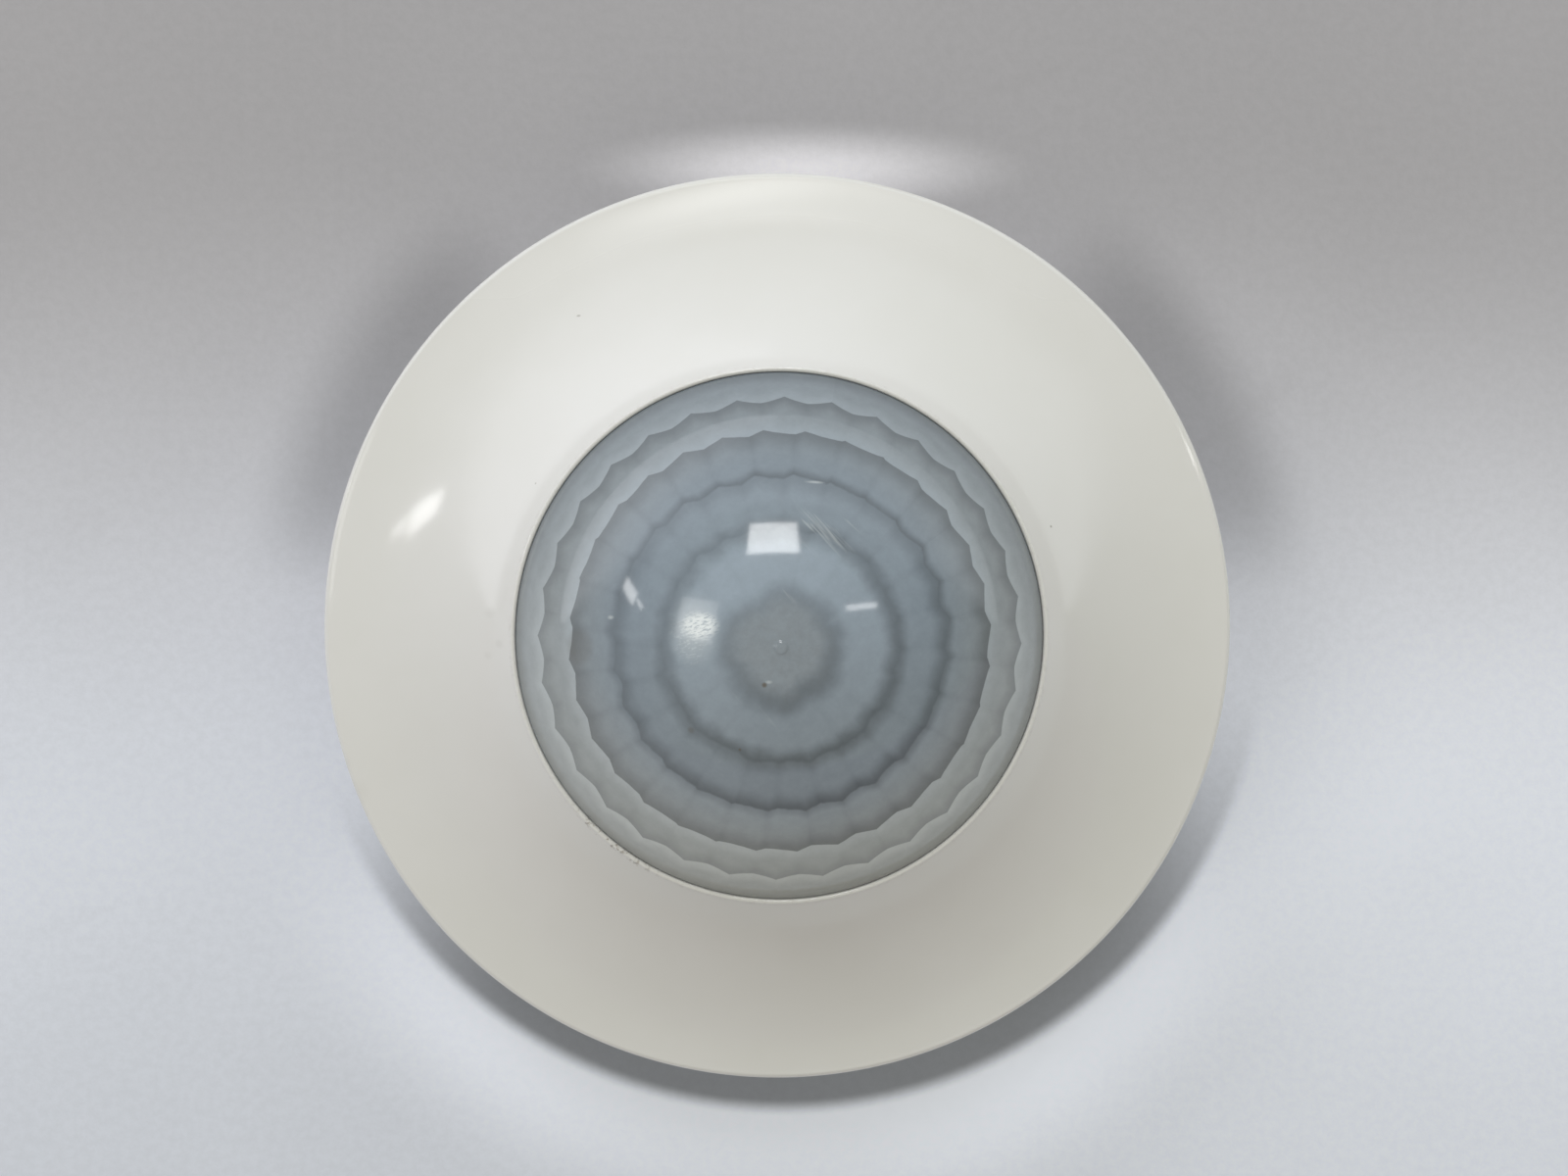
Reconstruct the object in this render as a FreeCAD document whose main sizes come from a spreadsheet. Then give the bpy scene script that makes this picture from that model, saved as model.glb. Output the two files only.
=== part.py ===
import FreeCAD, Part
import Sketcher
import math
import os
from FreeCAD import Placement, Rotation, Vector

# Ceiling presence detector. Millimetres, +Z towards the room, origin in the middle of the insert's rear face.
os.makedirs("parts", exist_ok=True)
doc = FreeCAD.newDocument("presence_detector")

# Driving dimensions
driving = {
    # cover
    "cover_radius": 54.0,
    "cover_edge_round": 0.8,
    "cover_edge_height": 1.4,
    "cover_wall": 1.8,
    "cover_curve": 45.8,
    "cover_rim_width": 2.0,
    "cover_rim_step": 0.65,
    "cover_lip_width": 1.3,
    "cover_lip_depth": 3.4,
    "bead_width": 0.5,
    "bead_round": 0.3,
    "finger_thickness": 1.2,
    "finger_angle": 24.0,
    "finger_overlap": 0.4,
    "barb_depth": 0.8,
    "barb_height": 0.7,
    # lens
    "lens_radius": 28.9,
    "lens_gap": 0.25,
    "lens_flange_width": 2.0,
    "lens_flange": 1.2,
    "lens_skirt_wall": 2.0,
    "lens_skirt_height": 5.4,
    "dome_radius": 35.1,
    "dome_wall": 2.0,
    "lenslet_radius": 22.0,
    "lenslet_sag": 0.3,
    "facet_azimuth": 66.5,
    "ledge_reach": 0.6,
    "ledge_inset": 0.35,
    "gate_radius": 0.7,
    "gate_height": 0.15,
    "gate_root": 0.5,
    # sensing head
    "head_margin": 2.7,
    "head_wall": 1.5,
    "head_floor": 1.4,
    "head_lip": 0.7,
    "head_lip_height": 1.2,
    "snap_gap": 0.4,
    "carrier_thickness": 1.4,
    "carrier_inset": 0.4,
    "notch_width": 9.0,
    "carrier_edge_step": 0.6,
    "carrier_chamfer": 1.0,
    "spigot_wall": 1.3,
    "spigot_height": 1.2,
    "fit_gap": 0.2,
    "board_thickness": 1.6,
    "board_gap": 0.8,
    "board_headroom": 0.8,
    "board_edge_gap": 1.6,
    "tongue_width": 5.0,
    "tongue_height": 1.2,
    "tongue_bite": 0.9,
    # infrared sensors, baffle and small electronics
    "sensor_circle": 8.5,
    "can_radius": 4.15,
    "can_height": 4.4,
    "can_brim": 0.45,
    "can_brim_height": 0.5,
    "window_radius": 2.5,
    "window_thickness": 0.4,
    "baffle_end_gap": 5.0,
    "baffle_wall": 0.8,
    "baffle_height": 3.2,
    "baffle_tube": 3.0,
    "light_sensor_size": 2.4,
    "light_sensor_height": 1.0,
    "led_radius": 1.5,
    "led_height": 4.4,
    "receiver_width": 6.0,
    "receiver_depth": 4.6,
    "receiver_height": 5.0,
    "receiver_lens": 2.0,
    "chip_size": 7.0,
    "chip_height": 1.1,
    # mounting frame
    "insert_depth": 34.0,
    "frame_side": 72.0,
    "frame_corner": 12.0,
    "frame_thickness": 1.2,
    "frame_hole_gap": 0.4,
    "box_screw_spacing": 60.0,
    "slot_length": 6.0,
    "slot_width": 3.6,
    "ceiling_hole_spacing": 52.0,
    "ceiling_hole_radius": 2.1,
    "tab_width": 10.0,
    "tab_height": 5.0,
    # insert
    "flange_seat": 1.0,
    "flange_thickness": 1.2,
    "insert_radius": 25.4,
    "insert_taper": 0.8,
    "insert_wall": 1.6,
    "insert_floor": 1.8,
    "insert_chamfer": 0.6,
    "lid_thickness": 1.4,
    "post_inset": 2.2,
    "post_radius": 2.6,
    "pilot_radius": 1.15,
    "power_board_level": 14.0,
    "power_board_gap": 0.6,
    "screw_radius": 1.1,
    "screw_head_radius": 2.0,
    "screw_head_height": 0.8,
    "screw_length": 8.0,
    # terminals and plug
    "terminal_length": 30.0,
    "terminal_depth": 10.5,
    "terminal_gap": 0.25,
    "terminal_pitch": 7.0,
    "terminal_recess": 0.4,
    "terminal_lip": 1.5,
    "wire_entry_radius": 1.7,
    "wire_entry_depth": 7.0,
    "contact_width": 5.0,
    "contact_sheet": 0.7,
    "plug_length": 13.5,
    "plug_width": 5.8,
    "plug_place": -1.2,
    "plug_height": 5.4,
    "header_length": 12.7,
    "header_width": 5.0,
    "pin_pitch": 2.54,
    "pin_side": 0.64,
    "pin_length": 4.6,
    "pin_hole_side": 0.9,
    # parts on the power board
    "relay_length": 20.5,
    "relay_width": 10.4,
    "relay_height": 15.4,
    "relay_place": 1.2,
    "relay_gap": 0.6,
    "capacitor_radius": 5.0,
    "capacitor_height": 16.0,
    "capacitor_place_x": 11.5,
    "capacitor_place_y": -8.9,
    "groove_level": 1.5,
    "groove_depth": 0.4,
    "film_length": 10.0,
    "film_width": 6.0,
    "film_height": 12.0,
    "film_place": -0.5,
    "film_gap": 5.0,
    "varistor_radius": 4.5,
    "varistor_thickness": 4.0,
    "varistor_place_x": -15.4,
    "varistor_place_y": -7.0,
    "choke_radius": 4.0,
    "choke_height": 9.0,
    "choke_core": 2.8,
    "choke_flange": 1.2,
    "choke_place_x": -14.6,
    "choke_place_y": 7.4,
    "fuse_radius": 2.6,
    "fuse_height": 8.0,
    "fuse_place_x": 15.0,
    "fuse_place_y": 6.6,
}
cans = 4
facets_per_quarter = (1, 4, 6, 7, 8, 8)
ring_share = (0.047, 0.267, 0.437, 0.603, 0.769, 0.910)
ring_shift = (0.0, 0.0, 0.0, 0.0, 0.0, 0.5)

sheet = doc.addObject("Spreadsheet::Sheet", "sizes")
for row, (name, number) in enumerate(driving.items(), 1):
    sheet.set(f"A{row}", name)
    sheet.set(f"B{row}", str(number))
    sheet.setAlias(f"B{row}", name)
doc.recompute()


class Size:
    """A number that remembers how it is worked out from the sheet."""

    def __init__(self, number, text):
        self.number = number
        self.text = text

    def __add__(self, other):
        other = size(other)
        return Size(self.number + other.number, f"({self.text} + {other.text})")

    def __sub__(self, other):
        other = size(other)
        return Size(self.number - other.number, f"({self.text} - {other.text})")

    def __mul__(self, other):
        other = size(other)
        return Size(self.number * other.number, f"({self.text} * {other.text})")

    def __neg__(self):
        return self * -1


def size(value):
    return value if isinstance(value, Size) else Size(float(value), f"({value:.9f})")


class Sheet:
    """Reads a driving dimension by its name, as in on.cover_radius."""

    def __getattr__(self, name):
        return Size(driving[name], f"sizes.{name}")


on = Sheet()

# Levels above the rear face, from the ceiling outwards
ceiling = on.insert_depth
frame_top = ceiling + on.frame_thickness
flange_top = frame_top + on.flange_thickness
head_floor_top = flange_top + on.head_floor
board_bottom = head_floor_top + on.board_gap
board_top = board_bottom + on.board_thickness
carrier_bottom = board_top + on.board_headroom
carrier_top = carrier_bottom + on.carrier_thickness
lens_flange_top = carrier_top + on.lens_flange
skirt_top = carrier_top + on.lens_skirt_height
lid_bottom = flange_top - on.lid_thickness
power_top = on.power_board_level + on.board_thickness
plug_bottom = flange_top - on.plug_height

# Radii that follow the lens, from its skirt out to the head's wall
skirt_inside = on.lens_radius - on.lens_skirt_wall
lens_flange_radius = on.lens_radius + on.lens_flange_width
head_radius = lens_flange_radius + on.head_margin
head_inside = head_radius - on.head_wall
spigot_radius = head_inside - on.fit_gap
carrier_opening = skirt_inside - on.carrier_inset
board_screw_circle = carrier_opening - on.screw_head_radius
component_circle = board_screw_circle - on.receiver_width

# Radii that follow the insert
insert_bottom = on.insert_radius - on.insert_taper
insert_inside = insert_bottom - on.insert_wall
frame_hole = on.insert_radius + on.frame_hole_gap
post_circle = insert_inside - on.post_inset


def polar(circle, degrees):
    angle = math.radians(degrees)
    return size(circle) * math.cos(angle), size(circle) * math.sin(angle)


# Sketch and feature helpers
def new_body(name):
    body = doc.addObject("PartDesign::Body", name)
    body.Label = name
    return body


def new_sketch(body, role, offset=0):
    """A sketch on one of the body's own origin planes, moved along the plane's normal."""
    plane = [feature for feature in body.Origin.OriginFeatures if feature.Role == role][0]
    sketch = body.newObject("Sketcher::SketchObject", body.Name + "_sketch")
    sketch.AttachmentSupport = [(plane, "")]
    sketch.MapMode = "FlatFace"
    sketch.setExpression("AttachmentOffset.Base.z", size(offset).text)
    return sketch


def fix(sketch, kind, where, value):
    index = sketch.addConstraint(Sketcher.Constraint(kind, *where, value.number))
    sketch.setExpression(f"Constraints[{index}]", value.text)


def draw_circle(sketch, x, y, radius):
    x, y, radius = size(x), size(y), size(radius)
    circle = Part.Circle(Vector(x.number, y.number, 0), Vector(0, 0, 1), radius.number)
    edge = sketch.addGeometry(circle)
    fix(sketch, "Radius", (edge,), radius)
    fix(sketch, "DistanceX", (-1, 1, edge, 3), x)
    fix(sketch, "DistanceY", (-1, 1, edge, 3), y)


def arc_centre(here, there, radius):
    """Middle of the short arc from one point to another, to the left of the way for a plus radius."""
    chord = there - here
    reach = math.sqrt(max(radius ** 2 - chord.Length ** 2 / 4, 0))
    return (here + there) * 0.5 + Vector(-chord.y, chord.x, 0) * (math.copysign(reach, radius) / chord.Length)


def draw_outline(sketch, points):
    """A closed outline. A third value in a point is the radius of the arc to the next point, plus for left turns."""
    count = len(points)
    starts = []
    ends = []
    for index, point in enumerate(points):
        x, y = size(point[0]).number, size(point[1]).number
        after = points[(index + 1) % count]
        next_x, next_y = size(after[0]).number, size(after[1]).number
        here, there = Vector(x, y, 0), Vector(next_x, next_y, 0)
        if len(point) == 2:
            edge = sketch.addGeometry(Part.LineSegment(here, there))
            starts.append((edge, 1))
            ends.append((edge, 2))
            continue
        radius = size(point[2])
        side = 1 if radius.number > 0 else -1
        centre = arc_centre(here, there, radius.number)
        first = math.atan2(y - centre.y, x - centre.x)
        last = math.atan2(next_y - centre.y, next_x - centre.x)
        circle = Part.Circle(centre, Vector(0, 0, 1), abs(radius.number))
        turn = (first, last) if side > 0 else (last, first)
        edge = sketch.addGeometry(Part.ArcOfCircle(circle, *turn))
        starts.append((edge, 1 if side > 0 else 2))
        ends.append((edge, 2 if side > 0 else 1))
        fix(sketch, "Radius", (edge,), radius * side)
    for index, point in enumerate(points):
        sketch.addConstraint(Sketcher.Constraint("Coincident", *ends[index - 1], *starts[index]))
        fix(sketch, "DistanceX", (-1, 1, *starts[index]), size(point[0]))
        fix(sketch, "DistanceY", (-1, 1, *starts[index]), size(point[1]))


def box_points(x, y, length, width):
    """Corners of a rectangle about its middle, in order."""
    x, y, length, width = size(x), size(y), size(length) * 0.5, size(width) * 0.5
    return [(x - length, y - width), (x + length, y - width), (x + length, y + width), (x - length, y + width)]


def revolve(body, points, angle=360):
    """Turns an outline of (radius, height) points about the Z axis."""
    sketch = new_sketch(body, "XZ_Plane")
    draw_outline(sketch, points)
    turned = body.newObject("PartDesign::Revolution", body.Name + "_turned")
    turned.Profile = sketch
    turned.ReferenceAxis = (sketch, ["V_Axis"])
    turned.setExpression("Angle", size(angle).text)
    turned.Midplane = angle != 360
    doc.recompute()
    return turned


def pad(body, bottom, length, outlines=(), circles=()):
    """Raises outlines and circles from one level by a length."""
    sketch = new_sketch(body, "XY_Plane", bottom)
    for points in outlines:
        draw_outline(sketch, points)
    for circle in circles:
        draw_circle(sketch, *circle)
    raised = body.newObject("PartDesign::Pad", body.Name + "_raised")
    raised.Profile = sketch
    raised.setExpression("Length", size(length).text)
    doc.recompute()
    return raised


def pocket(body, top, depth, outlines=(), circles=()):
    """Sinks outlines and circles from one level downwards, and stops the build if that cuts nothing."""
    before = body.Shape.Volume
    sketch = new_sketch(body, "XY_Plane", top)
    for points in outlines:
        draw_outline(sketch, points)
    for circle in circles:
        draw_circle(sketch, *circle)
    sunk = body.newObject("PartDesign::Pocket", body.Name + "_sunk")
    sunk.Profile = sketch
    sunk.setExpression("Length", size(depth).text)
    doc.recompute()
    if not body.Shape.Volume < before - 1e-6:
        raise ValueError(f"{body.Label}: a pocket cuts nothing")
    return sunk


def repeat(body, feature, count):
    """Repeats a feature about the Z axis."""
    axis = [item for item in body.Origin.OriginFeatures if item.Role == "Z_Axis"][0]
    pattern = body.newObject("PartDesign::PolarPattern", body.Name + "_repeated")
    pattern.Originals = [feature]
    pattern.Axis = (axis, [""])
    pattern.Angle = 360
    pattern.Occurrences = count
    body.Tip = pattern
    doc.recompute()
    return pattern


nodes = []

# Cover: one glossy moulding that curves up to the lens and snaps over the head
cover = new_body("cover_ring")
opening = on.lens_radius + on.lens_gap
lip_radius = opening + on.cover_lip_width
lip_bottom = skirt_top - on.cover_lip_depth
rim_inside = on.cover_radius - on.cover_rim_width
rim_bottom = ceiling + on.cover_rim_step
underside_curve = on.cover_curve + on.cover_wall
revolve(cover, [
    (on.cover_radius - on.cover_edge_round, ceiling, on.cover_edge_round),
    (on.cover_radius, ceiling + on.cover_edge_round),
    (on.cover_radius, ceiling + on.cover_edge_height, on.cover_edge_round),
    (on.cover_radius - on.cover_edge_round, ceiling + on.cover_edge_height + on.cover_edge_round, -on.cover_curve),
    (opening + on.bead_width, skirt_top, on.bead_round),
    (opening, skirt_top),
    (opening, lens_flange_top),
    (lip_radius, lens_flange_top),
    (lip_radius, lip_bottom, underside_curve),
    (rim_inside, rim_bottom),
    (rim_inside, ceiling),
])
finger_inside = head_radius + on.head_lip + on.snap_gap
finger_outside = finger_inside + on.finger_thickness
barb_top = carrier_bottom - on.head_lip_height - on.fit_gap
barb_tip = finger_inside - on.barb_depth
lip_corner = Vector(lip_radius.number, lip_bottom.number, 0)
rim_corner = Vector(rim_inside.number, rim_bottom.number, 0)
middle = arc_centre(lip_corner, rim_corner, underside_curve.number)
drop = math.sqrt(underside_curve.number ** 2 - (middle.x - finger_inside.number) ** 2)
finger_top = size(middle.y - drop) + on.finger_overlap
finger = revolve(cover, [
    (finger_inside, finger_top),
    (finger_inside, barb_top),
    (barb_tip, barb_top),
    (barb_tip, barb_top - on.barb_height),
    (finger_inside, barb_top - on.barb_height * 2),
    (finger_outside, barb_top - on.barb_height * 2),
    (finger_outside, finger_top),
], on.finger_angle)
repeat(cover, finger, 4)
nodes.append(cover)

# Lens blank: domed window with a flange that the cover clamps
blank = new_body("lens_blank")
sphere_rise = math.sqrt(driving["dome_radius"] ** 2 - driving["lens_radius"] ** 2)
dome_middle = skirt_top.number - sphere_rise
apex = dome_middle + driving["dome_radius"]
vertex_reach = driving["dome_radius"] - driving["dome_wall"] + driving["lenslet_sag"]
lens_edge_polar = math.degrees(math.asin((skirt_inside.number + driving["ledge_reach"]) / vertex_reach))
ledge_rise = (skirt_inside.number - driving["ledge_inset"]) / math.tan(math.radians(lens_edge_polar))
ledge = size(dome_middle + ledge_rise)
revolve(blank, [
    (0, carrier_top),
    (lens_flange_radius, carrier_top),
    (lens_flange_radius, lens_flange_top),
    (on.lens_radius, lens_flange_top),
    (on.lens_radius, skirt_top, on.dome_radius),
    (0, apex),
])
pad(blank, size(apex) - on.gate_root, on.gate_height + on.gate_root, circles=[(0, 0, on.gate_radius)])
pocket(blank, ledge, ledge - carrier_top, circles=[(0, 0, skirt_inside)])


# Lens facets: 136 lenslets on the inside, each a ball's skin in the cell of directions nearest to its axis
def direction(tilt, azimuth):
    tilt, azimuth = math.radians(tilt), math.radians(azimuth)
    return Vector(math.sin(tilt) * math.cos(azimuth), math.sin(tilt) * math.sin(azimuth), math.cos(tilt))


def ring_directions(tilt, count, shift):
    step = 360 / count
    return [direction(tilt, driving["facet_azimuth"] + step * (index + shift)) for index in range(count)]


def facet_corners(axis, others):
    """Clips a wide square across a lenslet's axis by the planes half way to its neighbours."""
    across = axis.cross(Vector(0.3, 0.5, 0.8)).normalize()
    along = axis.cross(across)
    corners = [axis + across * x + along * y for x, y in ((-0.6, -0.6), (0.6, -0.6), (0.6, 0.6), (-0.6, 0.6))]
    for other in others:
        normal = axis - other
        kept = []
        for index, corner in enumerate(corners):
            before = corners[index - 1]
            near_before, near = before.dot(normal), corner.dot(normal)
            if (near_before > 0) != (near > 0):
                kept.append(before + (corner - before) * (near_before / (near_before - near)))
            if near > 0:
                kept.append(corner)
        corners = [corner.normalize() for corner in kept]
    return [corner for index, corner in enumerate(corners) if (corner - corners[index - 1]).Length > 1e-6]


def lenslet_face(axis, others):
    """One lenslet: the part of its ball that lies nearest to its own axis."""
    far = [corner * (driving["dome_radius"] / corner.dot(axis)) for corner in facet_corners(axis, others)]
    faces = [Part.Face(Part.makePolygon(far + far[:1]))]
    for index, corner in enumerate(far):
        faces.append(Part.Face(Part.makePolygon([Vector(), far[index - 1], corner, Vector()])))
    ball = Part.makeSphere(driving["lenslet_radius"])
    distance = driving["dome_radius"] - driving["dome_wall"] + driving["lenslet_radius"]
    ball.Placement = Placement(axis * distance, Rotation(Vector(1, 0, 0), axis))
    cell = Part.Solid(Part.Shell(faces)).cut(ball)
    return [face for face in cell.Faces if isinstance(face.Surface, Part.Sphere)][0]


def sewn(faces):
    shape = Part.makeCompound(faces)
    shape.sewShape()
    return shape.Shells[0]


ring_tilts = [share * lens_edge_polar for share in ring_share]
rings = list(zip(ring_tilts, [cans * facets for facets in facets_per_quarter], ring_shift))
axes = [axis for ring in rings for axis in ring_directions(*ring)]
outer_tilt, outer_count, outer_shift = rings[-1]
axes_and_guards = axes + ring_directions(2 * lens_edge_polar - outer_tilt, outer_count, outer_shift)
facets = []
for tilt, count, shift in rings:
    for axis in ring_directions(tilt, count, shift)[:count // cans]:
        facet = lenslet_face(axis, [other for other in axes_and_guards if 1e-6 < (other - axis).Length < 0.7])
        for index in range(cans):
            turned_facet = facet.copy()
            turned_facet.rotate(Vector(), Vector(0, 0, 1), 360 / cans * index)
            facets.append(turned_facet)
dish = sewn(facets)
uses = {}
for facet in dish.Faces:
    for edge in facet.Edges:
        uses.setdefault(edge.hashCode(), []).append(edge)
flanks = []
for edge, *others in uses.values():
    if not others:
        first, last = edge.Vertexes[0].Point, edge.Vertexes[-1].Point
        sides = [Part.makeLine(Vector(), first), edge, Part.makeLine(last, Vector())]
        flanks.append(Part.Face(Part.Wire(sides)))
core = doc.addObject("Part::Feature", "facet_core")
core.Shape = Part.Solid(sewn(dish.Faces + flanks))
core.Placement = Placement(Vector(0, 0, dome_middle), Rotation())
lens = doc.addObject("Part::Cut", "lens_dome")
lens.Label = "lens_dome"
lens.Base = blank
lens.Tool = core
nodes.append(lens)

# Lens carrier: ring that closes the head and bears the lens flange
carrier = new_body("lens_carrier")
carrier_radius = head_radius - on.carrier_edge_step
revolve(carrier, [
    (carrier_opening, carrier_bottom),
    (spigot_radius - on.spigot_wall, carrier_bottom),
    (spigot_radius - on.spigot_wall, carrier_bottom - on.spigot_height),
    (spigot_radius, carrier_bottom - on.spigot_height),
    (spigot_radius, carrier_bottom),
    (carrier_radius, carrier_bottom),
    (carrier_radius, carrier_top - on.carrier_chamfer),
    (carrier_radius - on.carrier_chamfer, carrier_top),
    (carrier_opening, carrier_top),
])
nodes.append(carrier)

# Head base: tray that holds the sensor board, with a snap lip for the cover and tongues for the frame's tabs
head = new_body("head_base")
lip = head_radius + on.head_lip
revolve(head, [
    (0, flange_top),
    (head_radius, flange_top),
    (head_radius, carrier_bottom - on.head_lip_height),
    (lip, carrier_bottom - on.head_lip_height + on.fit_gap),
    (lip, carrier_bottom),
    (head_inside, carrier_bottom),
    (head_inside, head_floor_top),
    (0, head_floor_top),
])
standoff_places = [polar(board_screw_circle, 45 + 90 * index) for index in range(4)]
pad(head, head_floor_top, on.board_gap, circles=[(x, y, on.screw_head_radius) for x, y in standoff_places])
tab_place = on.frame_side * 0.5
tongue_tip = tab_place + on.tongue_bite
tongue_points = box_points(0, (tongue_tip + head_inside) * 0.5, on.tongue_width, tongue_tip - head_inside)
tongue = pad(head, flange_top, on.tongue_height, [tongue_points])
repeat(head, tongue, 2)
pocket(head, board_bottom, on.board_gap + on.head_floor, circles=[(x, y, on.pilot_radius) for x, y in standoff_places])
plug_window = box_points(0, on.plug_place, on.plug_length + on.fit_gap, on.plug_width + on.fit_gap)
pocket(head, head_floor_top, on.head_floor, [plug_window])
notch_inside = on.box_screw_spacing * 0.5 - on.slot_length
notch = box_points((notch_inside + lip) * 0.5, 0, lip - notch_inside, on.notch_width)
notch_cut = pocket(head, board_bottom, on.head_floor + on.board_gap, [notch])
repeat(head, notch_cut, 2)
nodes.append(head)

# Sensor board: round circuit board of the head
board = new_body("sensor_board")
pad(board, board_bottom, on.board_thickness, circles=[(0, 0, spigot_radius - on.spigot_wall - on.board_edge_gap)])
hole = polar(board_screw_circle, 45)
repeat(board, pocket(board, board_top, on.board_thickness, circles=[(*hole, on.screw_radius + on.fit_gap)]), 4)
nodes.append(board)


def screw_group(name, seat, length, places):
    """Pan head screws with their heads on one level."""
    group = new_body(name)
    pad(group, seat - length, length, circles=[(x, y, on.screw_radius) for x, y in places])
    pad(group, seat, on.screw_head_height, circles=[(x, y, on.screw_head_radius) for x, y in places])
    nodes.append(group)


screw_group("sensor_board_screws", board_top, on.board_thickness + on.board_gap + on.head_floor, standoff_places)

# Infrared sensors: metal cans with a filter window, one for each quarter of the lens
for index in range(cans):
    x, y = polar(on.sensor_circle, driving["facet_azimuth"] + 360 / cans * index)
    can = new_body(f"sensor_can_{index + 1}")
    pad(can, board_top, on.can_brim_height, circles=[(x, y, on.can_radius + on.can_brim)])
    pad(can, board_top + on.can_brim_height, on.can_height - on.can_brim_height, circles=[(x, y, on.can_radius)])
    rim = board_top + on.can_height
    pocket(can, rim, on.window_thickness, circles=[(x, y, on.window_radius + on.fit_gap * 0.5)])
    nodes.append(can)
    window = new_body(f"sensor_window_{index + 1}")
    pad(window, rim - on.window_thickness, on.window_thickness, circles=[(x, y, on.window_radius)])
    nodes.append(window)

# Baffle: black cross that parts the sensors, with a tube for the light sensor
baffle = new_body("sensor_baffle")
long_side, wall = (component_circle - on.baffle_end_gap) * 2, on.baffle_wall
pad(baffle, board_top, on.baffle_height, [box_points(0, 0, long_side, wall)])
pad(baffle, board_top, on.baffle_height, [box_points(0, 0, wall, long_side)])
pad(baffle, board_top, on.baffle_height, circles=[(0, 0, on.baffle_tube)])
pocket(baffle, board_top + on.baffle_height, on.baffle_height, circles=[(0, 0, on.baffle_tube - on.baffle_wall)])
baffle.Placement = Placement(Vector(), Rotation(Vector(0, 0, 1), driving["facet_azimuth"] + 45))
nodes.append(baffle)


def block(name, x, y, bottom, length, width, height, turn=0):
    """A plain block that stands on one level."""
    body = new_body(name)
    pad(body, bottom, height, [box_points(0, 0, length, width)])
    body.Placement = Placement(Vector(size(x).number, size(y).number, 0), Rotation(Vector(0, 0, 1), turn))
    nodes.append(body)
    return body


# Small electronics of the head
light_size = on.light_sensor_size
block("light_sensor", 0, 0, board_top, light_size, light_size, on.light_sensor_height, driving["facet_azimuth"])
receiver_x, receiver_y = polar(component_circle, driving["facet_azimuth"] - 45)
receiver = block("ir_receiver", receiver_x, receiver_y, board_top, on.receiver_width, on.receiver_depth,
                 on.receiver_height - on.receiver_lens, driving["facet_azimuth"] + 45)
pad(receiver, board_top, on.receiver_height, circles=[(0, 0, on.receiver_lens)])
led = new_body("status_led")
led_shoulder = board_top + on.led_height - on.led_radius
revolve(led, [
    (0, board_top),
    (on.led_radius + on.fit_gap, board_top),
    (on.led_radius + on.fit_gap, board_top + on.light_sensor_height),
    (on.led_radius, board_top + on.light_sensor_height),
    (on.led_radius, led_shoulder, on.led_radius),
    (0, board_top + on.led_height),
])
led_x, led_y = polar(component_circle, driving["facet_azimuth"] + 45)
led.Placement = Placement(Vector(led_x.number, led_y.number, 0), Rotation())
nodes.append(led)
chip_x, chip_y = polar(component_circle, driving["facet_azimuth"] + 135)
block("controller_chip", chip_x, chip_y, board_top, on.chip_size, on.chip_size, on.chip_height)

# Plug between head and insert
header_height = board_bottom - flange_top
block("plug_header", 0, on.plug_place, flange_top, on.header_length, on.header_width, header_height)
pins = new_body("plug_pins")
columns = (-2, -1, 0, 1, 2)
pin_places = []
for column in columns:
    for side in (-0.5, 0.5):
        pin_places.append((on.pin_pitch * column, on.plug_place + on.pin_pitch * side))
pad(pins, flange_top - on.pin_length, on.pin_length, [box_points(x, y, on.pin_side, on.pin_side) for x, y in pin_places])
nodes.append(pins)
socket = new_body("plug_socket")
pad(socket, plug_bottom, on.plug_height, [box_points(0, on.plug_place, on.plug_length, on.plug_width)])
hole_side = on.pin_hole_side
pocket(socket, flange_top, on.pin_length + on.fit_gap, [box_points(x, y, hole_side, hole_side) for x, y in pin_places])
nodes.append(socket)
block("riser_board", 0, on.plug_place, power_top, on.plug_length, on.board_thickness, plug_bottom - power_top)

# Mounting frame: stamped sheet for the wall box, with two upright tabs
frame = new_body("mounting_frame")
half, cut_corner = on.frame_side * 0.5, on.frame_side * 0.5 - on.frame_corner
pad(frame, ceiling, on.frame_thickness, [[
    (half, -cut_corner), (half, cut_corner), (cut_corner, half), (-cut_corner, half),
    (-half, cut_corner), (-half, -cut_corner), (-cut_corner, -half), (cut_corner, -half),
]])
tab = pad(frame, ceiling, on.tab_height, [
    box_points(0, half + on.frame_thickness * 0.5, on.tab_width, on.frame_thickness),
])
repeat(frame, tab, 2)
window_width = on.tongue_width + on.fit_gap * 2
window = pocket(frame, flange_top + on.tongue_height + on.fit_gap, on.tongue_height + on.fit_gap * 2, [
    box_points(0, half + on.frame_thickness * 0.5, window_width, on.frame_thickness),
])
repeat(frame, window, 2)
pocket(frame, frame_top, on.frame_thickness, circles=[(0, 0, frame_hole)])
slot_half, slot_end = on.slot_width * 0.5, (on.slot_length - on.slot_width) * 0.5
slot_middle = on.box_screw_spacing * 0.5
slot = pocket(frame, frame_top, on.frame_thickness, [[
    (slot_middle - slot_end, -slot_half),
    (slot_middle + slot_end, -slot_half, slot_half * 1.0001),
    (slot_middle + slot_end, slot_half),
    (slot_middle - slot_end, slot_half, slot_half * 1.0001),
]])
repeat(frame, slot, 2)
corner_hole = on.ceiling_hole_spacing * 0.5
hole = pocket(frame, frame_top, on.frame_thickness, circles=[(corner_hole, corner_hole, on.ceiling_hole_radius)])
repeat(frame, hole, 4)
nodes.append(frame)

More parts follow.
